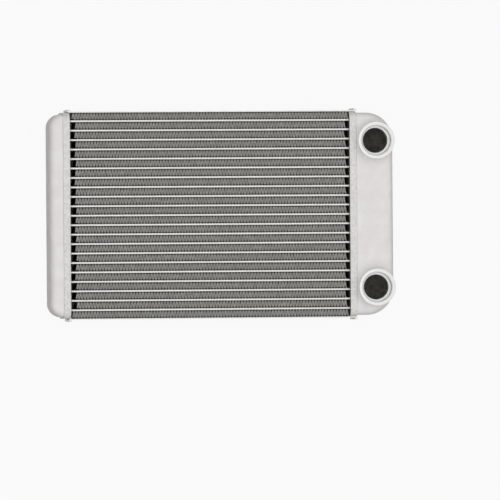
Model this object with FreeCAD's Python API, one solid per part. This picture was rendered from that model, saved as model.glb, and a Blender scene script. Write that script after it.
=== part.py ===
import FreeCAD
import Part
import math
import os

# A brazed aluminium heater core. A pack of flat tubes and folded fins stands between two header
# plates, each closed by a drawn tank. Both ports are on the wide tank, which a baffle splits in two,
# so the coolant goes down one half of the tubes and comes back through the other.
# Millimetres. X runs along the tubes, Y across the pack and Z with the air, up out of the ports.
# The origin is under the middle of the whole part, on the face that it lies on.

Vector = FreeCAD.Vector
X_AXIS = Vector(1, 0, 0)
Y_AXIS = Vector(0, 1, 0)
Z_AXIS = Vector(0, 0, 1)
FULL_TURN = 360.0
SAME_PLACE = 0.01

# Tube and fin pack
tube_count = 21
tube_pitch = 7.2
tube_thickness = 1.4
tube_width = 26.0
tube_wall = 0.3
tube_reach = 2.5
core_length = 215.3

# Folded fin strips; their folds are drawn wider than the real 1.14 mm, to keep the pack light
fin_thickness = 0.1
fin_fold_pitch = 6.9
fin_gap_return_side = 4.4
fin_gap_port_side = 2.8
outer_fin_gap = 1.2

# Header plates, one cup-shaped pressing at each end of the pack
header_margin = 3.0
header_sheet = 1.0
header_rim = 5.4
header_bend = 0.9
braze_gap = 0.05

# Tanks, measured out from the header rims
tank_wall = 1.5
tank_edge_radius = 5.0
tank_edge_facets = 4
return_tank_reach = 10.2
return_tank_corner = 10.5
port_tank_reach = 28.6
port_tank_corner = 20.7
room_facets = 3
baffle_thickness = 1.5
port_inset_x = 14.3
port_inset_y = 21.35

# Ports, turned parts with a clamp flange and a seat for a seal above the bore
port_bore = 19.0
port_height = 9.0
port_root = 5.0
seat_diameter = 22.2
seat_depth = 7.5
seat_lead_in = 0.8
neck_wall = 1.3
flange_diameter = 28.4
flange_thickness = 2.4

# Side plates, with a hem rolled at each end
side_plate_sheet = 0.8
hem_inner_radius = 0.4
hem_leg = 1.0
hem_facets = 3
side_plate_reach_return_side = 1.7
side_plate_reach_port_side = 6.4

# Sizes worked out from the ones above
overrun = 1.0
fin_height = tube_pitch - tube_thickness
header_depth = tube_width + 2 * header_margin
core_height = (tube_count + 1) * tube_pitch - tube_thickness
middle_z = header_depth / 2
core_x = (return_tank_reach - port_tank_reach) / 2
return_face_x = core_x - core_length / 2
port_face_x = core_x + core_length / 2
tank_height = core_height - 2 * (header_sheet + braze_gap)
tank_depth = header_depth - 2 * (header_sheet + braze_gap)
tank_top_z = middle_z + tank_depth / 2
tank_open_end = header_sheet
port_tank_far = header_rim + port_tank_reach
return_tank_far = header_rim + return_tank_reach
baffle_y = (tube_count // 2 + 1 - tube_count / 2) * tube_pitch
port_x = port_face_x + port_tank_far - port_inset_x
port_y = tank_height / 2 - port_inset_y
neck_radius = seat_diameter / 2 + neck_wall


def tube_y(number):
    """Height in the pack of one tube's middle, counted from 1 at the bottom."""
    return (number - (tube_count + 1) / 2) * tube_pitch


def prism(corners, along):
    """The solid that a closed flat polygon sweeps along a straight way."""
    return Part.Face(Part.makePolygon(corners + corners[:1])).extrude(along)


def turned_points(centre, radius, start_degrees, end_degrees, steps):
    """Points in one Z plane along an arc, both ends included."""
    points = []
    for step in range(steps + 1):
        angle = math.radians(start_degrees + (end_degrees - start_degrees) * step / steps)
        points.append(centre + Vector(math.cos(angle), math.sin(angle), 0) * radius)
    return points


def flat_tube_bar(width, thickness, x, y, length):
    """A bar along X with a tube's flat section, upright in Z, each thin edge drawn as two facets."""
    half = thickness / 2
    reach = width / 2 - half
    section = [
        (-half, -reach),
        (0, -width / 2),
        (half, -reach),
        (half, reach),
        (0, width / 2),
        (-half, reach),
    ]
    corners = [Vector(x, y + across, middle_z + up) for across, up in section]
    return prism(corners, X_AXIS * length)


def make_tube(number):
    """One flat tube, open at both ends, which stands a little way into both tanks."""
    overhang = header_sheet + tube_reach
    start = return_face_x - overhang
    length = core_length + 2 * overhang
    outside = flat_tube_bar(tube_width, tube_thickness, start, tube_y(number), length)
    inside = flat_tube_bar(
        tube_width - 2 * tube_wall,
        tube_thickness - 2 * tube_wall,
        start - overrun,
        tube_y(number),
        length + 2 * overrun,
    )
    return outside.cut(inside)


def make_fin(number):
    """One folded strip, whose folds touch the tube or side plate above and below it."""
    outer_row = number in (1, tube_count + 1)
    start = return_face_x + (outer_fin_gap if outer_row else fin_gap_return_side)
    end = port_face_x - (outer_fin_gap if outer_row else fin_gap_port_side)
    folds = max(2, 2 * round((end - start) / fin_fold_pitch / 2))
    fold = (end - start) / folds
    slant = math.hypot(fold, fin_height) / fold
    rise = fin_thickness * slant
    middle_y = tube_y(number) - tube_pitch / 2
    bottom = middle_y - fin_height / 2
    crest = middle_y + fin_height / 2 - rise
    low_z = middle_z - tube_width / 2
    under = []
    for step in range(folds + 1):
        height = bottom if step % 2 == 0 else crest
        under.append(Vector(start + step * fold, height, low_z))
    over = [point + Y_AXIS * rise for point in reversed(under)]
    return prism(under + over, Z_AXIS * tube_width)


def rounded_section(x, height, depth, radius, length):
    """A bar along X whose section is a rectangle with four round corners."""
    block = Part.makeBox(length, height, depth, Vector(x, -height / 2, middle_z - depth / 2))
    corners = [edge for edge in block.Edges if abs(edge.tangentAt(edge.FirstParameter).x) > 0.5]
    return block.makeFillet(radius, corners)


def make_header(inner_face_x, outward):
    """A header plate: a floor with a slot for each tube, and a rim that the tank fits inside."""
    inside_radius = tank_edge_radius + braze_gap
    cup = rounded_section(0, core_height, header_depth, inside_radius + header_sheet, header_rim)
    floor_edges = [edge for edge in cup.Edges if edge.BoundBox.XMax < header_sheet / 2]
    cup = cup.makeChamfer(header_bend, floor_edges)
    room = rounded_section(
        header_sheet,
        core_height - 2 * header_sheet,
        header_depth - 2 * header_sheet,
        inside_radius,
        header_rim,
    )
    slots = []
    for number in range(1, tube_count + 1):
        slots.append(
            flat_tube_bar(
                tube_width + 2 * braze_gap,
                tube_thickness + 2 * braze_gap,
                -overrun,
                tube_y(number),
                header_sheet + 2 * overrun,
            )
        )
    return placed_at_end(cup.cut([room] + slots), inner_face_x, outward)


def placed_at_end(shape, inner_face_x, outward):
    """Moves a piece drawn from X = 0 to a header's inner face, turned over at the return end."""
    if outward < 0:
        shape = shape.mirror(Vector(0, 0, 0), X_AXIS)
    shape.translate(Vector(inner_face_x, 0, 0))
    return shape


def edges_along_outline(block, opening_x):
    """The edges of a tank's front and back faces, without the two at its open end."""
    found = []
    for edge in block.Edges:
        level = edge.BoundBox.ZLength < SAME_PLACE
        at_opening = edge.BoundBox.XMax < opening_x + SAME_PLACE
        if level and not at_opening:
            found.append(edge)
    return found


def tank_outline(far, corner, inset, z):
    """A tank's plan at one height, drawn in by the inset everywhere but at its open end."""
    half = tank_height / 2 - inset
    end = far - inset
    radius = corner - inset
    bend_x = far - corner
    diagonal = radius * (1 - math.sqrt(0.5))
    start = Vector(tank_open_end, -half, z)
    lower_bend = Vector(bend_x, -half, z)
    lower_middle = Vector(end - diagonal, -half + diagonal, z)
    lower_side = Vector(end, -half + radius, z)
    upper_side = Vector(end, half - radius, z)
    upper_middle = Vector(end - diagonal, half - diagonal, z)
    upper_bend = Vector(bend_x, half, z)
    finish = Vector(tank_open_end, half, z)
    edges = [
        Part.LineSegment(start, lower_bend).toShape(),
        Part.Arc(lower_bend, lower_middle, lower_side).toShape(),
        Part.LineSegment(lower_side, upper_side).toShape(),
        Part.Arc(upper_side, upper_middle, upper_bend).toShape(),
        Part.LineSegment(upper_bend, finish).toShape(),
        Part.LineSegment(finish, start).toShape(),
    ]
    return Part.Wire(edges)


def tank_outside(far, corner):
    """A tank's outer form, flat where it opens and rolled over at its front and back edges."""
    low = middle_z - tank_depth / 2
    rolled = []
    for step in range(tank_edge_facets + 1):
        angle = math.radians(90 * step / tank_edge_facets)
        inset = tank_edge_radius * (1 - math.sin(angle))
        rise = tank_edge_radius * (1 - math.cos(angle))
        rolled.append((inset, rise))
    outlines = [tank_outline(far, corner, inset, low + rise) for inset, rise in rolled]
    outlines += [tank_outline(far, corner, inset, tank_top_z - rise) for inset, rise in rolled[::-1]]
    return Part.makeLoft(outlines, True, True)


def tank_room(start, far, corner, wall):
    """The room inside a tank, in flat facets that keep at least about the wall's thickness."""
    half = tank_height / 2 - wall
    depth = tank_depth - 2 * wall
    low = middle_z - depth / 2
    radius = corner - wall
    centre_x = far - corner
    centre_y = half - radius
    lower = turned_points(Vector(centre_x, -centre_y, low), radius, -90, 0, room_facets)
    upper = turned_points(Vector(centre_x, centre_y, low), radius, 0, 90, room_facets)
    corners = [Vector(start, -half, low)] + lower + upper + [Vector(start, half, low)]
    block = prism(corners, Z_AXIS * depth)
    flat = (tank_edge_radius - wall) * (2 - math.sqrt(2))
    return block.makeChamfer(flat, edges_along_outline(block, start))


def make_return_tank():
    """The narrow tank, which turns the coolant round."""
    outside = tank_outside(return_tank_far, return_tank_corner)
    room = tank_room(0, return_tank_far, return_tank_corner, tank_wall)
    return placed_at_end(outside.cut(room), return_face_x, -1)


def make_port_tank():
    """The wide tank, with a hole for each port in its front face."""
    outside = tank_outside(port_tank_far, port_tank_corner)
    room = tank_room(0, port_tank_far, port_tank_corner, tank_wall)
    shell = placed_at_end(outside.cut(room), port_face_x, 1)
    holes = []
    for side in (-1, 1):
        foot = Vector(port_x, side * port_y, middle_z)
        holes.append(Part.makeCylinder(neck_radius + braze_gap, header_depth, foot))
    return shell.cut(holes)


def make_baffle():
    """The plate across the wide tank, between the inlet half and the outlet half."""
    room = tank_room(tank_open_end, port_tank_far, port_tank_corner, tank_wall + braze_gap)
    low_corner = Vector(0, baffle_y - baffle_thickness / 2, 0)
    slab = Part.makeBox(port_tank_far, baffle_thickness, header_depth, low_corner)
    return placed_at_end(room.common(slab), port_face_x, 1)


def make_port(side):
    """A turned port, made by spinning half of its section about its own axis."""
    top = tank_top_z + port_height
    seat_radius = seat_diameter / 2
    bore_radius = port_bore / 2
    flange_radius = flange_diameter / 2
    seat_floor = top - seat_depth
    root = tank_top_z - port_root
    flange_back = top - flange_thickness
    section = [
        (bore_radius, root),
        (bore_radius, seat_floor),
        (seat_radius, seat_floor),
        (seat_radius, top - seat_lead_in),
        (seat_radius + seat_lead_in, top),
        (flange_radius, top),
        (flange_radius, flange_back),
        (neck_radius, flange_back),
        (neck_radius, root),
    ]
    points = [Vector(radius, 0, height) for radius, height in section]
    half_section = Part.Face(Part.makePolygon(points + points[:1]))
    spun = half_section.revolve(Vector(0, 0, 0), Z_AXIS, FULL_TURN)
    spun.translate(Vector(port_x, side * port_y, 0))
    return spun


def hem_points(centre, outward):
    """One rolled end of a side plate, from its inner face round to its outer face."""
    outer_radius = hem_inner_radius + side_plate_sheet
    leg = X_AXIS * -hem_leg
    outside = turned_points(centre, outer_radius, -90, 90, hem_facets)
    inside = turned_points(centre, hem_inner_radius, 90, -90, hem_facets)
    points = outside + [outside[-1] + leg, inside[0] + leg] + inside
    if outward < 0:
        points = [Vector(2 * centre.x - point.x, point.y, point.z) for point in points]
    return points


def make_side_plate(side):
    """A flat plate over the last row of fins, which passes over both header rims."""
    outer_radius = hem_inner_radius + side_plate_sheet
    left = return_face_x - side_plate_reach_return_side + outer_radius
    right = port_face_x + side_plate_reach_port_side - outer_radius
    bend_y = core_height / 2 + outer_radius
    low_z = middle_z - tube_width / 2
    right_end = hem_points(Vector(right, bend_y, low_z), 1)
    left_end = hem_points(Vector(left, bend_y, low_z), -1)
    plate = prism(right_end + left_end[::-1], Z_AXIS * tube_width)
    if side < 0:
        plate = plate.mirror(Vector(0, 0, 0), Y_AXIS)
    return plate


def all_pieces():
    """Every piece of the part by the name of its node."""
    pieces = {
        "return_tank": make_return_tank(),
        "inlet_outlet_tank": make_port_tank(),
        "return_header": make_header(return_face_x, -1),
        "inlet_outlet_header": make_header(port_face_x, 1),
        "baffle": make_baffle(),
        "inlet_port": make_port(1),
        "outlet_port": make_port(-1),
        "upper_side_plate": make_side_plate(1),
        "lower_side_plate": make_side_plate(-1),
    }
    for number in range(1, tube_count + 1):
        pieces[f"tube_{number:02d}"] = make_tube(number)
    for number in range(1, tube_count + 2):
        pieces[f"fin_{number:02d}"] = make_fin(number)
    return pieces


os.makedirs("parts", exist_ok=True)
for name, shape in all_pieces().items():
    shape.exportStep(f"parts/{name}.step")
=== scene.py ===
import math

import bmesh
import bpy
from mathutils import Matrix, Vector


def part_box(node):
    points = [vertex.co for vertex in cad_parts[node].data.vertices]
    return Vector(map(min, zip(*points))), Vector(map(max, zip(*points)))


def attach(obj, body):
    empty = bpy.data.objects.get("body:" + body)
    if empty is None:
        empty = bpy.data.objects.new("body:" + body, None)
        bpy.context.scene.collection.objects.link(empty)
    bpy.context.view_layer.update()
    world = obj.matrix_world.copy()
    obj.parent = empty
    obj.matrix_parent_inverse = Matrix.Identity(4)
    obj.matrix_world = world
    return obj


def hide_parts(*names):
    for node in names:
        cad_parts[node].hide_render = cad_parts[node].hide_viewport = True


# A brazed aluminium heater core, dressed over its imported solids. Metres throughout: X runs along
# the tubes, Y across the pack and Z out of the ports. Sizes are written in millimetres times MM.

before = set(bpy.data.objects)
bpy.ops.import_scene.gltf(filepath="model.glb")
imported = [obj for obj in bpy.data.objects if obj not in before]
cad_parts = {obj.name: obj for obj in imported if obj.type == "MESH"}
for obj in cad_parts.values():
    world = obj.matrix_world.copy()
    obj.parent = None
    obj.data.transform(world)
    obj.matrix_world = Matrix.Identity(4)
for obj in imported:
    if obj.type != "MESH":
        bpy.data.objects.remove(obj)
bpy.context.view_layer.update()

MM = 0.001

# Sizes shared with the solids
TUBE_PITCH = 7.2 * MM
TUBE_THICKNESS = 1.4 * MM
TUBE_WALL = 0.3 * MM
TUBE_COUNT = 21
ROW_COUNT = 22
HEADER_SHEET = 1.0 * MM
BRAZE_GAP = 0.05 * MM
TANK_WALL = 1.5 * MM
TANK_EDGE = 5.0 * MM
RETURN_TANK_CORNER = 10.5 * MM
PORT_TANK_CORNER = 20.7 * MM
PORT_BORE = 9.5 * MM
PORT_SEAT = 11.1 * MM
PORT_SEAT_DEPTH = 7.5 * MM
SEAT_LEAD_IN = 0.8 * MM
PORT_NECK = 12.4 * MM
FLANGE_THICKNESS = 2.4 * MM
PLATE_SHEET = 0.8 * MM
HEM_RADIUS = 0.4 * MM
HEM_LEG = 1.0 * MM

# The bend of a header, a little tighter than the solid's
HEADER_BEND = 0.8 * MM

# Details that the solids leave out: a header's cut lip and inner bend, a port's broken corners
# and round flange edge, a plate's eased edges, and braze metal round the ports and in the hems
HEADER_LIP = 0.15 * MM
HEADER_INNER_BEND = 0.4 * MM
BROKEN_CORNER = 0.35 * MM
FLANGE_EDGE = 0.6 * MM
PLATE_EDGE = 0.12 * MM
BRAZE_BEAD = 0.9 * MM
BEAD_LIFT = 0.02 * MM
HEM_FILL = 0.5 * MM

# A narrow flat band inside a round edge, which keeps the shading of the flat face next to it even
EDGE_BAND = 0.6 * MM

# The fin strip at the pitch read from the photo; one pitch is a whole wave, up and down again. Its
# louvres are drawn coarser than the usual 1 mm, and only near the open faces of the pack, where
# they are seen.
FOLD_PITCH = 2.286 * MM
FOLD_BEND = 0.22 * MM
FOIL = 0.1 * MM
LOUVRES_PER_BANK = 3
LOUVRE = 1.65 * MM
LOUVRE_LENGTH = 3.8 * MM
LOUVRE_SHARE = 0.96
LOUVRE_TURN = math.radians(31)
PLAIN_EDGE = 0.8 * MM
WALL_OVERLAP = 0.02 * MM

# How far folds and whole rows stand out of true, as pressed and packed strips do
FOLD_SHIFT = 0.06 * MM
FOLD_LEAN = math.radians(0.8)
ROW_SLIDE = 0.25 * MM

# Depths below the open faces of the pack between which the foil turns from its own colour to painted
# shade
SHADE_START_DEPTH = 2.2 * MM
SHADE_FULL_DEPTH = 2.7 * MM

# The etched grain of the brazed sheet
GRAIN = 0.5 * MM
GRAIN_HEIGHT = 0.04 * MM

# Turning marks, drawn coarser than the usual 0.1 mm so that they show; a ring texture of scale 1
# repeats every RING_PERIOD
RING_PITCH = 0.377 * MM
RING_PERIOD = math.pi / 10
RING_DEPTH = 0.01 * MM

# Straight sides of a circle, where a port or its hole is round
ROUND_STEPS = 96

# The studio; FLOOR_LIFT is how far the floor goes to plain white where it is looked at
FLOOR_LIFT = 0.92
FLOOR_HALF = 4.0
FLOOR_Z = -0.3 * MM
UNDER_PACK_Z = -0.15 * MM
UNDER_PACK_MARGIN = 4 * MM
ROOM_SEEN = 0.98


# Colours and materials


def linear(hex_colour):
    """The linear colour of an sRGB hex value."""
    channels = [int(hex_colour[i:i + 2], 16) / 255 for i in (1, 3, 5)]
    return [c / 12.92 if c <= 0.04045 else ((c + 0.055) / 1.055) ** 2.4 for c in channels] + [1.0]


def add(tree, kind, links=None, **settings):
    """Adds a node; links maps an input's name or number to a socket or to a fixed value."""
    node = tree.nodes.new(kind)
    for name, value in settings.items():
        setattr(node, name, value)
    for key, value in (links or {}).items():
        if isinstance(value, bpy.types.NodeSocket):
            tree.links.new(value, node.inputs[key])
        else:
            node.inputs[key].default_value = value
    return node


def new_material(name):
    """An empty material with its output and a Principled shader joined to it."""
    material = bpy.data.materials.new(name)
    material.use_nodes = True
    tree = material.node_tree
    tree.nodes.clear()
    shader = add(tree, "ShaderNodeBsdfPrincipled")
    add(tree, "ShaderNodeOutputMaterial", {"Surface": shader.outputs["BSDF"]})
    return material, tree, shader


def brazed_aluminium(name, light, dark, mottle_mm, mottle, roughness, bare=0.2, shine=0.2):
    """Aluminium sheet after the brazing furnace: matt, pale grey, clouded by dried flux.

    mottle_mm is the size of the flux clouds and mottle how soft they are, bare how much of the
    metal shows through the white flux skin, and shine the gloss of that skin. A fine etched grain
    breaks up the light on it.
    """
    material, tree, shader = new_material(name)
    place = add(tree, "ShaderNodeTexCoord").outputs["Object"]
    clouds = add(
        tree, "ShaderNodeTexNoise",
        {"Vector": place, "Scale": 1 / (mottle_mm * MM), "Detail": 5.0, "Roughness": 0.62},
    )
    spread = add(
        tree, "ShaderNodeMapRange",
        {"Value": clouds.outputs["Fac"], "From Min": 0.5 - mottle, "From Max": 0.5 + mottle},
    )
    colour = add(
        tree, "ShaderNodeMix", {0: spread.outputs["Result"], 6: linear(dark), 7: linear(light)},
        data_type="RGBA",
    )
    tree.links.new(colour.outputs[2], shader.inputs["Base Color"])
    dull = add(
        tree, "ShaderNodeMapRange",
        {"Value": clouds.outputs["Fac"], "To Min": roughness + 0.08, "To Max": roughness - 0.08},
    )
    tree.links.new(dull.outputs["Result"], shader.inputs["Roughness"])
    grit = add(
        tree, "ShaderNodeTexNoise",
        {"Vector": place, "Scale": 1 / GRAIN, "Detail": 3.0, "Roughness": 0.6},
    )
    relief = add(
        tree, "ShaderNodeBump",
        {"Height": grit.outputs["Fac"], "Strength": 0.5, "Distance": GRAIN_HEIGHT},
    )
    tree.links.new(relief.outputs["Normal"], shader.inputs["Normal"])
    shader.inputs["Metallic"].default_value = bare
    shader.inputs["Specular IOR Level"].default_value = shine
    return material


def fin_aluminium(name, light, dark, painted_depth_shade, middle_z, half_depth):
    """Louvred foil in its own colour at the two open faces of the pack, and painted near-black as shade
    in its depth.

    The strip reaches half_depth to both sides of middle_z.
    """
    material = brazed_aluminium(name, light, dark, 2.2, 0.18, 0.5, bare=0.15)
    tree = material.node_tree
    shader = next(node for node in tree.nodes if node.type == "BSDF_PRINCIPLED")
    skin = shader.inputs["Base Color"].links[0].from_socket
    place = add(tree, "ShaderNodeTexCoord").outputs["Object"]
    height = add(tree, "ShaderNodeSeparateXYZ", {0: place}).outputs["Z"]
    off_middle = add(tree, "ShaderNodeMath", {0: height, 1: middle_z}, operation="SUBTRACT")
    near_face = add(tree, "ShaderNodeMath", {0: off_middle.outputs[0]}, operation="ABSOLUTE")
    # Painted shade: the foil turns to the near-black colour a few mm below the open faces of the pack
    share = add(
        tree, "ShaderNodeMapRange",
        {
            "Value": near_face.outputs[0],
            "From Min": half_depth - SHADE_FULL_DEPTH,
            "From Max": half_depth - SHADE_START_DEPTH,
        },
    )
    colour = add(
        tree, "ShaderNodeMix", {0: share.outputs["Result"], 6: linear(painted_depth_shade), 7: skin}, data_type="RGBA",
    )
    tree.links.new(colour.outputs[2], shader.inputs["Base Color"])
    return material


def turned_aluminium(name, light, dark, centre):
    """Aluminium turned on a lathe: brighter than the sheet, with fine rings round the port's axis."""
    material, tree, shader = new_material(name)
    place = add(tree, "ShaderNodeTexCoord").outputs["Object"]
    centred = add(tree, "ShaderNodeMapping", {"Vector": place, "Location": [-c for c in centre]})
    rings = add(
        tree, "ShaderNodeTexWave",
        {
            "Vector": centred.outputs["Vector"], "Scale": RING_PERIOD / RING_PITCH,
            "Distortion": 0.4, "Detail": 1.0,
        },
        wave_type="RINGS", rings_direction="Z",
    )
    clouds = add(
        tree, "ShaderNodeTexNoise",
        {"Vector": place, "Scale": 1 / (4 * MM), "Detail": 4.0},
    )
    colour = add(
        tree, "ShaderNodeMix", {0: clouds.outputs["Fac"], 6: linear(dark), 7: linear(light)},
        data_type="RGBA",
    )
    tree.links.new(colour.outputs[2], shader.inputs["Base Color"])
    relief = add(
        tree, "ShaderNodeBump",
        {"Height": rings.outputs["Fac"], "Strength": 0.3, "Distance": RING_DEPTH},
    )
    tree.links.new(relief.outputs["Normal"], shader.inputs["Normal"])
    dull = add(
        tree, "ShaderNodeMapRange",
        {"Value": clouds.outputs["Fac"], "To Min": 0.38, "To Max": 0.5},
    )
    tree.links.new(dull.outputs["Result"], shader.inputs["Roughness"])
    shader.inputs["Metallic"].default_value = 1.0
    return material


# Finishing a piece


def finish_piece(name, mesh, material, slot, *nodes, smooth_angle=40):
    """Puts a finished mesh in the scene as a piece that stands for the named nodes.

    A mesh that already carries its finishes comes with no material.
    """
    piece = bpy.data.objects.new(name, mesh)
    bpy.context.scene.collection.objects.link(piece)
    if material:
        mesh.materials.clear()
        mesh.materials.append(material)
    mesh.shade_smooth()
    mesh.set_sharp_from_angle(angle=math.radians(smooth_angle))
    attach(piece, "root")
    if nodes:
        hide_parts(*nodes)


def settled(piece, name):
    """The plain mesh of an object with its modifiers worked in; the object itself goes."""
    bpy.context.view_layer.update()
    graph = bpy.context.evaluated_depsgraph_get()
    mesh = bpy.data.meshes.new_from_object(piece.evaluated_get(graph))
    mesh.name = name
    bpy.data.objects.remove(piece)
    return mesh


def as_object(name, bm):
    """A working object in the scene from a bmesh, which is freed."""
    mesh = bpy.data.meshes.new(name)
    bm.to_mesh(mesh)
    bm.free()
    piece = bpy.data.objects.new(name, mesh)
    bpy.context.scene.collection.objects.link(piece)
    return piece


def cut_away(piece, cutters, name):
    """The mesh that is left of a working object once each cutter's space is taken out."""
    bpy.context.view_layer.update()
    for cutter in cutters:
        cut = piece.modifiers.new("cut", "BOOLEAN")
        cut.operation = "DIFFERENCE"
        cut.solver = "EXACT"
        cut.object = cutter
    mesh = settled(piece, name)
    for cutter in cutters:
        bpy.data.objects.remove(cutter)
    return mesh


# Shapes that several pieces use


def loft(bm, rings, close_ring=True, start_cap=True, end_cap=True):
    """Joins rings that all have the same number of points, and returns the rings' vertices."""
    made = [[bm.verts.new(point) for point in ring] for ring in rings]
    count = len(made[0])
    for before, after in zip(made, made[1:]):
        for i in range(count if close_ring else count - 1):
            j = (i + 1) % count
            bm.faces.new((before[i], before[j], after[j], after[i]))
    if start_cap:
        bm.faces.new(made[0][::-1])
    if end_cap:
        bm.faces.new(made[-1])
    return made


def point_outwards(bm):
    """Merges doubled vertices and turns every face to the outside."""
    bmesh.ops.remove_doubles(bm, verts=bm.verts, dist=1e-7)
    bmesh.ops.recalc_face_normals(bm, faces=bm.faces)


def arc(centre_a, centre_b, radius, start_degrees, end_degrees, steps):
    """Pairs along an arc, both ends included."""
    pairs = []
    for step in range(steps + 1):
        angle = math.radians(start_degrees + (end_degrees - start_degrees) * step / steps)
        pairs.append((centre_a + radius * math.cos(angle), centre_b + radius * math.sin(angle)))
    return pairs


def rounded_rectangle(half_y, half_z, radius, steps):
    """Pairs (y, z) round a rectangle with round corners, about its middle."""
    pairs = []
    for turn, (side_y, side_z) in enumerate(((1, 1), (-1, 1), (-1, -1), (1, -1))):
        pairs += arc(
            side_y * (half_y - radius), side_z * (half_z - radius), radius,
            turn * 90, turn * 90 + 90, steps,
        )
    return pairs


def flat_oval(straight, half, steps=8):
    """Pairs round a slot's outline: two half circles with straight sides between them."""
    return arc(0, straight, half, 0, 180, steps) + arc(0, -straight, half, 180, 360, steps)


# Repeats along a line


def repeat_tree():
    """Places a unit at even steps along a line, each a little out of true as pressed parts are."""
    tree = bpy.data.node_groups.new("repeat along a line", "GeometryNodeTree")
    wanted = (
        ("Unit", "NodeSocketObject"),
        ("Count", "NodeSocketInt"),
        ("Start", "NodeSocketVector"),
        ("Step", "NodeSocketVector"),
        ("Shift", "NodeSocketFloat"),
        ("Lean", "NodeSocketFloat"),
        ("Seed", "NodeSocketInt"),
        ("Finish", "NodeSocketMaterial"),
    )
    for name, kind in wanted:
        tree.interface.new_socket(name, in_out="INPUT", socket_type=kind)
    tree.interface.new_socket("Geometry", in_out="OUTPUT", socket_type="NodeSocketGeometry")
    given = add(tree, "NodeGroupInput").outputs
    unit = add(tree, "GeometryNodeObjectInfo", {"Object": given["Unit"], "As Instance": True})
    line = add(
        tree, "GeometryNodeMeshLine",
        {"Count": given["Count"], "Start Location": given["Start"], "Offset": given["Step"]},
    )
    less = add(tree, "ShaderNodeMath", {0: given["Shift"], 1: -1.0}, operation="MULTIPLY")
    slide = add(
        tree, "FunctionNodeRandomValue",
        {2: less.outputs[0], 3: given["Shift"], "Seed": given["Seed"]}, data_type="FLOAT",
    )
    along = add(tree, "ShaderNodeCombineXYZ", {"X": slide.outputs[1]})
    moved = add(
        tree, "GeometryNodeSetPosition",
        {"Geometry": line.outputs["Mesh"], "Offset": along.outputs["Vector"]},
    )
    back = add(tree, "ShaderNodeMath", {0: given["Lean"], 1: -1.0}, operation="MULTIPLY")
    next_seed = add(tree, "ShaderNodeMath", {0: given["Seed"], 1: 100.0}, operation="ADD")
    tilt = add(
        tree, "FunctionNodeRandomValue",
        {2: back.outputs[0], 3: given["Lean"], "Seed": next_seed.outputs[0]}, data_type="FLOAT",
    )
    turn = add(tree, "ShaderNodeCombineXYZ", {"Z": tilt.outputs[1]})
    placed = add(
        tree, "GeometryNodeInstanceOnPoints",
        {
            "Points": moved.outputs["Geometry"],
            "Instance": unit.outputs["Geometry"],
            "Rotation": turn.outputs["Vector"],
        },
    )
    real = add(tree, "GeometryNodeRealizeInstances", {"Geometry": placed.outputs["Instances"]})
    dressed = add(
        tree, "GeometryNodeSetMaterial",
        {"Geometry": real.outputs["Geometry"], "Material": given["Finish"]},
    )
    add(tree, "NodeGroupOutput", {"Geometry": dressed.outputs["Geometry"]})
    return tree


def run_tree(tree, name, **values):
    """The plain mesh that a tree makes from these named inputs."""
    holder = bpy.data.objects.new(name, bpy.data.meshes.new(name))
    bpy.context.scene.collection.objects.link(holder)
    modifier = holder.modifiers.new(name, "NODES")
    modifier.node_group = tree
    sockets = {item.name: item.identifier for item in tree.interface.items_tree if item.in_out == "INPUT"}
    for key, value in values.items():
        modifier[sockets[key]] = value
    return settled(holder, name)


# Fins


def fold_unit(height, width):
    """One wave of the fin strip, up and down again, about the middle of its own height.

    Its two walls are cut into a bank of louvres near the front and another near the back, turned
    opposite ways, and are plain elsewhere. Bends join the walls at the top and bottom.
    """
    bm = bmesh.new()
    half_pitch = FOLD_PITCH / 2
    rise = height - FOIL - 2 * FOLD_BEND
    distance = math.hypot(half_pitch, rise)
    slope = math.atan2(half_pitch, rise) - math.asin(2 * FOLD_BEND / distance)
    wall_length = math.sqrt(distance ** 2 - (2 * FOLD_BEND) ** 2)
    leg = (wall_length - LOUVRE_LENGTH) / 2 + WALL_OVERLAP
    bend_y = rise / 2

    def bend(centre_x, up):
        """A bend with its two short legs, as one closed band the full width of the strip."""
        outer, inner = [], []
        for radius, line in ((FOLD_BEND + FOIL / 2, outer), (FOLD_BEND - FOIL / 2, inner)):
            turn = math.degrees(slope)
            pairs = arc(0, 0, radius, 180 - turn, turn, 3)
            away = (math.sin(slope) * -leg, math.cos(slope) * -leg)
            line.append((pairs[0][0] + away[0], pairs[0][1] + away[1]))
            line += pairs
            line.append((pairs[-1][0] - away[0], pairs[-1][1] + away[1]))
        outline = outer + inner[::-1]
        rings = [
            [(centre_x + x, up * (bend_y + y), z) for x, y in outline]
            for z in (-width / 2, width / 2)
        ]
        loft(bm, rings)

    def slat(centre_x, lean, z, breadth, turn):
        """One louvre, or a plain stretch of wall where turn is zero."""
        made = bmesh.ops.create_cube(bm, size=1.0)["verts"]
        bmesh.ops.scale(bm, vec=(FOIL, LOUVRE_LENGTH, breadth), verts=made)
        bmesh.ops.rotate(bm, cent=(0, 0, 0), matrix=Matrix.Rotation(turn, 3, "Y"), verts=made)
        bmesh.ops.rotate(bm, cent=(0, 0, 0), matrix=Matrix.Rotation(lean, 3, "Z"), verts=made)
        bmesh.ops.translate(bm, vec=(centre_x, 0, z), verts=made)

    middle = width - 2 * (PLAIN_EDGE + LOUVRES_PER_BANK * LOUVRE)
    for centre_x, lean in ((half_pitch / 2, -slope), (half_pitch * 1.5, slope)):
        for end in (-1, 1):
            slat(centre_x, lean, end * (width / 2 - PLAIN_EDGE / 2), PLAIN_EDGE, 0)
            for number in range(LOUVRES_PER_BANK):
                z = end * (middle / 2 + (number + 0.5) * LOUVRE)
                slat(centre_x, lean, z, LOUVRE * LOUVRE_SHARE, end * LOUVRE_TURN)
        slat(centre_x, lean, 0, middle, 0)
    bend(half_pitch, 1)
    bend(2 * half_pitch, -1)
    point_outwards(bm)
    return as_object("fin fold", bm)


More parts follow.
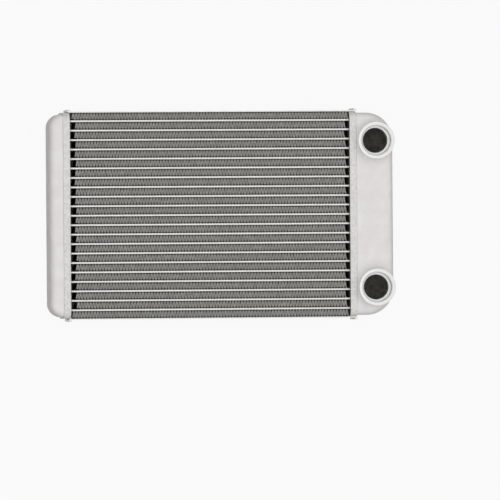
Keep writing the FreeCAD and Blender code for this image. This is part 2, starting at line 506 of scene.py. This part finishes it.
def make_fins(tree, foil):
    """Every row of folds, each between two tubes or between a tube and a side plate."""
    low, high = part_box("fin_02")
    unit = fold_unit(high[1] - low[1], high[2] - low[2])
    for number in range(1, ROW_COUNT + 1):
        node = f"fin_{number:02d}"
        low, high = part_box(node)
        count = round((high[0] - low[0]) / FOLD_PITCH)
        length = count * FOLD_PITCH
        uneven = ((number * 7) % 5 - 2) * ROW_SLIDE
        start = (low[0] + high[0] - length) / 2 + uneven
        mesh = run_tree(
            tree, f"fin_row_{number:02d}",
            Unit=unit, Count=count,
            Start=(start, (low[1] + high[1]) / 2, (low[2] + high[2]) / 2),
            Step=(FOLD_PITCH, 0, 0),
            Shift=FOLD_SHIFT, Lean=FOLD_LEAN, Seed=number, Finish=foil,
        )
        finish_piece(f"fin_row_{number:02d}", mesh, foil, "fin_foil", node, smooth_angle=50)
    bpy.data.objects.remove(unit)


# Tubes


def tube_unit(length, width):
    """One flat tube with round edges, open at both ends, lying along X."""
    bm = bmesh.new()
    loops = []
    for inset in (0, TUBE_WALL):
        half = TUBE_THICKNESS / 2 - inset
        loops.append(flat_oval(width / 2 - inset - half, half))
    outer = [[bm.verts.new((x, y, z)) for y, z in loops[0]] for x in (0, length)]
    inner = [[bm.verts.new((x, y, z)) for y, z in loops[1]] for x in (0, length)]
    count = len(loops[0])
    for i in range(count):
        j = (i + 1) % count
        bm.faces.new((outer[0][i], outer[0][j], outer[1][j], outer[1][i]))
        bm.faces.new((inner[0][j], inner[0][i], inner[1][i], inner[1][j]))
        bm.faces.new((outer[0][j], outer[0][i], inner[0][i], inner[0][j]))
        bm.faces.new((outer[1][i], outer[1][j], inner[1][j], inner[1][i]))
    point_outwards(bm)
    return as_object("flat tube", bm)


def make_tubes(tree, finish):
    """All the flat tubes in one piece, at the pitch of the pack."""
    low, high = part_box("tube_01")
    unit = tube_unit(high[0] - low[0], high[2] - low[2])
    mesh = run_tree(
        tree, "flat_tubes",
        Unit=unit, Count=TUBE_COUNT,
        Start=(low[0], (low[1] + high[1]) / 2, (low[2] + high[2]) / 2),
        Step=(0, TUBE_PITCH, 0),
        Shift=0.0, Lean=0.0, Seed=0, Finish=finish,
    )
    nodes = [f"tube_{number:02d}" for number in range(1, TUBE_COUNT + 1)]
    finish_piece("flat_tubes", mesh, finish, "tube_sheet", *nodes)
    bpy.data.objects.remove(unit)


# Headers


def header_cup(low, high, inner_face, outward):
    """A header plate as pressed: round bend, straight rim, and a lip that is cut square."""
    half_y = (high[1] - low[1]) / 2
    half_z = (high[2] - low[2]) / 2
    middle_z = (high[2] + low[2]) / 2
    rim = high[0] - low[0]
    corner = TANK_EDGE + BRAZE_GAP + HEADER_SHEET
    bend, lip, inner_bend = HEADER_BEND, HEADER_LIP, HEADER_INNER_BEND
    bend_steps = 4
    corner_steps = 6
    stations = [(0, bend + EDGE_BAND)]
    for step in range(bend_steps, -1, -1):
        angle = math.pi / 2 * step / bend_steps
        stations.append((bend * (1 - math.sin(angle)), bend * (1 - math.cos(angle))))
    stations += [(rim - lip, 0), (rim, lip), (rim, HEADER_SHEET - lip), (rim - lip, HEADER_SHEET)]
    stations += [(HEADER_SHEET + inner_bend, HEADER_SHEET), (HEADER_SHEET, HEADER_SHEET + inner_bend)]
    rings = []
    for x, inset in stations:
        ring = rounded_rectangle(half_y - inset, half_z - inset, corner - inset, corner_steps)
        rings.append([(inner_face + outward * x, y, middle_z + z) for y, z in ring])
    bm = bmesh.new()
    loft(bm, rings)
    point_outwards(bm)
    return bm


def slot_bars(inner_face):
    """A bar through the header for each tube, all in one object, to cut its slot."""
    reach = 3 * MM
    bm = bmesh.new()
    for number in range(1, TUBE_COUNT + 1):
        low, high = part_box(f"tube_{number:02d}")
        half = (high[1] - low[1]) / 2 + BRAZE_GAP
        straight = (high[2] - low[2]) / 2 + BRAZE_GAP - half
        middle_y = (low[1] + high[1]) / 2
        middle_z = (low[2] + high[2]) / 2
        loop = flat_oval(straight, half)
        loft(bm, [
            [(inner_face + x, middle_y + y, middle_z + z) for y, z in loop] for x in (-reach, reach)
        ])
    point_outwards(bm)
    return as_object("slot bars", bm)


def make_headers(finish, painted_shade):
    """Each header, with the face that looks into the pack painted dark as shade between the tubes."""
    for node, outward in (("return_header", -1), ("inlet_outlet_header", 1)):
        low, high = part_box(node)
        inner_face = high[0] if outward < 0 else low[0]
        cup = as_object(node, header_cup(low, high, inner_face, outward))
        mesh = cut_away(cup, [slot_bars(inner_face)], f"{node}_plate")
        mesh.materials.clear()
        mesh.materials.append(finish)
        mesh.materials.append(painted_shade)
        # Faces that look into the pack take the painted shade
        for face in mesh.polygons:
            looks_into_pack = face.normal.x * outward < -0.9
            face.material_index = int(looks_into_pack)
        finish_piece(f"{node}_plate", mesh, None, "header_sheet", node, smooth_angle=35)


# Tanks


def tank_shell(low, high, corner, outward):
    """A drawn tank: a tray round in plan at its far corners, with every other edge rolled over."""
    half_y = (high[1] - low[1]) / 2
    length = high[0] - low[0]
    open_x = low[0] if outward > 0 else high[0]
    far_x = length - corner
    far_y = half_y - corner
    steps = 20
    bend_steps = 8
    levels = [(low[2], TANK_EDGE + EDGE_BAND)]
    for step in range(bend_steps + 1):
        angle = math.pi / 2 * step / bend_steps
        levels.append((low[2] + TANK_EDGE * (1 - math.cos(angle)), TANK_EDGE * (1 - math.sin(angle))))
    levels += [(low[2] + high[2] - z, inset) for z, inset in levels[::-1]]
    rings = []
    for z, inset in levels:
        radius = corner - inset
        plan = [(0, -half_y + inset)]
        plan += arc(far_x, -far_y, radius, -90, 0, steps)
        plan += arc(far_x, far_y, radius, 0, 90, steps)
        plan += [(0, half_y - inset)]
        rings.append([(open_x + outward * x, y, z) for x, y in plan])
    bm = bmesh.new()
    loft(bm, rings, close_ring=False)
    point_outwards(bm)
    return bm


def walled(bm, name, thickness, outside, inside):
    """A working object whose sheet grows inwards from the drawn surface, with its two finishes."""
    piece = as_object(name, bm)
    piece.data.materials.append(outside)
    piece.data.materials.append(inside)
    wall = piece.modifiers.new("wall", "SOLIDIFY")
    wall.material_offset = 1
    wall.thickness = thickness
    wall.offset = -1.0
    wall.use_even_offset = True
    return piece


def round_bar(centre, radius, low_z, high_z):
    """A round bar along Z as a working object."""
    bm = bmesh.new()
    loop = arc(centre[0], centre[1], radius, 0, 360, ROUND_STEPS)[:-1]
    loft(bm, [[(x, y, z) for x, y in loop] for z in (low_z, high_z)])
    point_outwards(bm)
    return as_object("round bar", bm)


def port_axis(node):
    """Where a port's own axis stands on the plan."""
    low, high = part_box(node)
    return ((low[0] + high[0]) / 2, (low[1] + high[1]) / 2)


def make_tanks(outside, inside):
    """Both drawn tanks as open sheet, the wide one with a round hole for the foot of each port."""
    low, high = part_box("return_tank")
    drawn = tank_shell(low, high, RETURN_TANK_CORNER, -1)
    shell = walled(drawn, "return tank", TANK_WALL, outside, inside)
    mesh = settled(shell, "return_tank_shell")
    finish_piece(
        "return_tank_shell", mesh, None, "tank_sheet", "return_tank", smooth_angle=35,
    )

    low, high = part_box("inlet_outlet_tank")
    drawn = tank_shell(low, high, PORT_TANK_CORNER, 1)
    shell = walled(drawn, "port tank", TANK_WALL, outside, inside)
    middle_z = (low[2] + high[2]) / 2
    clear_of_tank = high[2] + 5 * MM
    holes = [
        round_bar(port_axis(node), PORT_NECK + BRAZE_GAP, middle_z, clear_of_tank)
        for node in ("inlet_port", "outlet_port")
    ]
    mesh = cut_away(shell, holes, "inlet_outlet_tank_shell")
    finish_piece(
        "inlet_outlet_tank_shell", mesh, None, "tank_sheet", "inlet_outlet_tank", smooth_angle=35,
    )


# Ports


def make_ports():
    """Each port turned from bar, its corners broken, with the braze bead that holds its foot.

    Each has a finish of its own, so that the turning marks run round its own axis.
    """
    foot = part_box("inlet_outlet_tank")[1][2] + BEAD_LIFT
    for node in ("inlet_port", "outlet_port"):
        low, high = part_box(node)
        centre = port_axis(node)
        flange = (high[0] - low[0]) / 2
        top = high[2]
        root = low[2]
        floor = top - PORT_SEAT_DEPTH
        back = top - FLANGE_THICKNESS
        broken = BROKEN_CORNER
        section = [
            (PORT_BORE, root),
            (PORT_BORE, floor - broken / 2),
            (PORT_BORE + broken / 2, floor),
            (PORT_SEAT, floor),
            (PORT_SEAT, top - SEAT_LEAD_IN),
            (PORT_SEAT + SEAT_LEAD_IN, top),
        ]
        section += arc(flange - FLANGE_EDGE, top - FLANGE_EDGE, FLANGE_EDGE, 90, 0, 5)
        section += arc(flange - broken, back + broken, broken, 0, -90, 3)
        section += [(PORT_NECK, back), (PORT_NECK, foot + BRAZE_BEAD)]
        section += arc(PORT_NECK + BRAZE_BEAD, foot + BRAZE_BEAD, BRAZE_BEAD, 202, 270, 4)
        section += [(PORT_NECK, foot), (PORT_NECK, root)]
        rings = []
        for radius, z in section:
            circle = arc(centre[0], centre[1], radius, 0, 360, ROUND_STEPS)[:-1]
            rings.append([(x, y, z) for x, y in circle])
        bm = bmesh.new()
        made = loft(bm, rings, start_cap=False, end_cap=False)
        for i in range(ROUND_STEPS):
            j = (i + 1) % ROUND_STEPS
            bm.faces.new((made[-1][i], made[-1][j], made[0][j], made[0][i]))
        point_outwards(bm)
        mesh = bpy.data.meshes.new(f"{node}_turned")
        bm.to_mesh(mesh)
        bm.free()
        metal = turned_aluminium(
            f"turned aluminium, {node.replace('_', ' ')}", "#E8E8E6", "#DADAD8", (*centre, top),
        )
        finish_piece(f"{node}_turned", mesh, metal, "port_metal", node, smooth_angle=25)


# Side plates


def make_side_plates(finish):
    """A flat plate over the last fins, each end rolled back and run full of braze metal."""
    for node, side in (("upper_side_plate", 1), ("lower_side_plate", -1)):
        low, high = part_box(node)
        face = low[1] if side > 0 else -high[1]
        outer = HEM_RADIUS + PLATE_SHEET
        bend_y = face + outer
        ends = ((high[0] - outer, 1), (low[0] + outer, -1))
        outline = []
        for x, turn in ends:
            outside = [(x + turn * a, b) for a, b in arc(0, bend_y, outer, -90, 90, 10)]
            inside = [(x + turn * a, b) for a, b in arc(0, bend_y, HEM_RADIUS, 90, -90, 10)]
            lip = [(x - turn * HEM_LEG, outside[-1][1]), (x - turn * HEM_LEG, inside[0][1])]
            points = outside + lip + inside
            outline += points if turn > 0 else points[::-1]
        bm = bmesh.new()
        loft(bm, [[(x, side * y, z) for x, y in outline] for z in (low[2], high[2])])
        for x, turn in ends:
            roll = [(x + turn * a, b) for a, b in arc(0, bend_y, HEM_RADIUS, -90, 90, 8)]
            roll += [(x - turn * HEM_LEG, roll[-1][1]), (x - turn * HEM_LEG, roll[0][1])]
            loft(bm, [
                [(a, side * b, z) for a, b in roll] for z in (low[2] + HEM_FILL, high[2] - HEM_FILL)
            ])
        point_outwards(bm)
        piece = as_object(node, bm)
        edge = piece.modifiers.new("edge", "BEVEL")
        edge.width = PLATE_EDGE
        edge.segments = 2
        edge.limit_method = "ANGLE"
        edge.angle_limit = math.radians(50)
        mesh = settled(piece, f"{node}_sheet")
        finish_piece(f"{node}_sheet", mesh, finish, "side_plate_sheet", node, smooth_angle=35)


# The studio


def seen_white(tree):
    """One for the rays that look straight at the room or see it in metal, and nought for light."""
    path = add(tree, "ShaderNodeLightPath").outputs
    seen = path["Is Camera Ray"]
    for kind in ("Is Glossy Ray", "Is Transmission Ray"):
        seen = add(tree, "ShaderNodeMath", {0: seen, 1: path[kind]}, operation="MAXIMUM").outputs[0]
    return seen


def matt_paper(name, lift):
    """Matt paper; lift is how far it goes to plain white where it is looked at."""
    material, tree, shader = new_material(name)
    place = add(tree, "ShaderNodeTexCoord").outputs["Object"]
    fibre = add(tree, "ShaderNodeTexNoise", {"Vector": place, "Scale": 1 / (30 * MM), "Detail": 2.0})
    colour = add(
        tree, "ShaderNodeMix",
        {0: fibre.outputs["Fac"], 6: linear("#B0B0B0"), 7: linear("#B4B4B4")}, data_type="RGBA",
    )
    tree.links.new(colour.outputs[2], shader.inputs["Base Color"])
    shader.inputs["Roughness"].default_value = 0.9
    shader.inputs["Specular IOR Level"].default_value = 0.0
    white = add(tree, "ShaderNodeEmission", {"Color": linear("#FFFFFF"), "Strength": 1.0})
    share = add(tree, "ShaderNodeMath", {0: seen_white(tree), 1: lift}, operation="MULTIPLY")
    both = add(
        tree, "ShaderNodeMixShader",
        {0: share.outputs[0], 1: shader.outputs["BSDF"], 2: white.outputs["Emission"]},
    )
    output = next(node for node in tree.nodes if node.type == "OUTPUT_MATERIAL")
    tree.links.new(both.outputs[0], output.inputs["Surface"])
    return material


def make_floor():
    """A wide white floor, and the paper right under the pack, which stays in its shadow."""
    pack_low, pack_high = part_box("upper_side_plate")
    sheets = (
        ("paper_floor", -FLOOR_HALF, FLOOR_HALF, FLOOR_HALF, FLOOR_Z, FLOOR_LIFT),
        (
            "paper_under_pack", pack_low[0], pack_high[0],
            pack_low[1] - UNDER_PACK_MARGIN, UNDER_PACK_Z, 0.0,
        ),
    )
    for name, low_x, high_x, half_y, z, lift in sheets:
        bm = bmesh.new()
        corners = ((low_x, -half_y), (high_x, -half_y), (high_x, half_y), (low_x, half_y))
        bm.faces.new([bm.verts.new((x, y, z)) for x, y in corners])
        sheet = as_object(name, bm)
        sheet.data.materials.append(matt_paper(name.replace("_", " "), lift))


def make_light():
    """A pale room, brighter overhead than at the horizon, and one large soft lamp above."""
    world = bpy.data.worlds.new("studio")
    bpy.context.scene.world = world
    world.use_nodes = True
    tree = world.node_tree
    tree.nodes.clear()
    place = add(tree, "ShaderNodeTexCoord").outputs["Generated"]
    up = add(tree, "ShaderNodeSeparateXYZ", {0: place}).outputs["Z"]
    shade = add(
        tree, "ShaderNodeMapRange",
        {"Value": up, "From Min": 0.42, "From Max": 0.85, "To Min": 0.05, "To Max": 1.48},
    )
    level = add(
        tree, "ShaderNodeMix", {0: seen_white(tree), 2: shade.outputs["Result"], 3: ROOM_SEEN},
        data_type="FLOAT",
    )
    glow = add(tree, "ShaderNodeBackground", {"Color": linear("#FFFFFF"), "Strength": level.outputs[0]})
    add(tree, "ShaderNodeOutputWorld", {"Surface": glow.outputs["Background"]})
    lamp = bpy.data.lights.new("overhead softbox", "AREA")
    lamp.shape = "SQUARE"
    lamp.size = 1.4
    lamp.energy = 3.0
    holder = bpy.data.objects.new("overhead softbox", lamp)
    holder.location = (-0.5, 0.05, 1.8)
    aim = Vector((0, 0, 0)) - holder.location
    holder.rotation_euler = aim.to_track_quat("-Z", "Y").to_euler()
    bpy.context.scene.collection.objects.link(holder)


def make_camera():
    """A long lens, nearly square on, a little from the left, as in the photograph."""
    tilt = math.radians(8.5)
    roll = math.radians(0.44)
    target = Vector((23.2 * MM, -27.1 * MM, 16 * MM))
    distance = 6.0
    width = 382.8 * MM
    back = Vector((-math.sin(tilt), 0, math.cos(tilt)))
    up = Vector((0, 1, 0))
    right = up.cross(back)
    turned_right = right * math.cos(roll) - up * math.sin(roll)
    turned_up = right * math.sin(roll) + up * math.cos(roll)
    camera = bpy.data.cameras.new("camera")
    camera.sensor_width = 36.0
    camera.lens = camera.sensor_width * distance / width
    camera.clip_start = 0.1
    camera.clip_end = 20.0
    holder = bpy.data.objects.new("camera", camera)
    holder.matrix_world = Matrix.Translation(target + back * distance) @ Matrix(
        (turned_right, turned_up, back)
    ).transposed().to_4x4()
    bpy.context.scene.collection.objects.link(holder)
    bpy.context.scene.camera = holder


# The part

# Smooth pale tanks, with wide faint flux clouds and a matt skin that fades slowly round the edges
tank_sheet = brazed_aluminium(
    "brazed tank sheet", "#E5E3E1", "#DBD8D6", 9, 0.22, 0.55, bare=0.06, shine=0.06,
)
# The inside of the tanks, painted dark and blotched as the shade that is seen down the bores
tank_inside_painted_shade = brazed_aluminium(
    "inside of the tanks in painted shade", "#8A8780", "#5B5853", 4, 0.2, 0.7, bare=0.0, shine=0.05,
)
# Headers a little rougher and more speckled than the tanks, so that the seam between them reads
header_sheet = brazed_aluminium(
    "brazed header sheet", "#E3E2DF", "#CBC9C6", 2.2, 0.2, 0.5, bare=0.1, shine=0.08,
)
# Painted shade on the headers' faces that look into the pack, for the dark ends of the fin rows
header_face_painted_shade = brazed_aluminium(
    "inner face of the headers in painted shade", "#6A6762", "#45423D", 2.2, 0.2, 0.7, bare=0.0, shine=0.05,
)
# Bright clean lines across the grey pack
tube_sheet = brazed_aluminium("brazed tube sheet", "#F2F1EE", "#E8E6E2", 5, 0.2, 0.45)
# The grey weave of the pack, with dark openings at the tips of the folds, and foil painted near-black as
# shade below the open faces
fin_low, fin_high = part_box("fin_11")
fin_foil = fin_aluminium(
    "louvred fin foil", "#DAD9D4", "#B5B4AF", "#201E1C",
    (fin_low[2] + fin_high[2]) / 2, (fin_high[2] - fin_low[2]) / 2,
)
# The broad, quiet, pale sides of the core
plate_sheet = brazed_aluminium("brazed side plate sheet", "#F0F0EE", "#E2E2DF", 6, 0.2, 0.45)

repeats = repeat_tree()
make_fins(repeats, fin_foil)
make_tubes(repeats, tube_sheet)
make_headers(header_sheet, header_face_painted_shade)
make_tanks(tank_sheet, tank_inside_painted_shade)
make_ports()
make_side_plates(plate_sheet)
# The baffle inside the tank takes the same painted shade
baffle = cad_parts["baffle"].data
baffle.materials.clear()
baffle.materials.append(tank_inside_painted_shade)

make_floor()
make_light()
make_camera()
bpy.context.scene.view_settings.view_transform = "Standard"
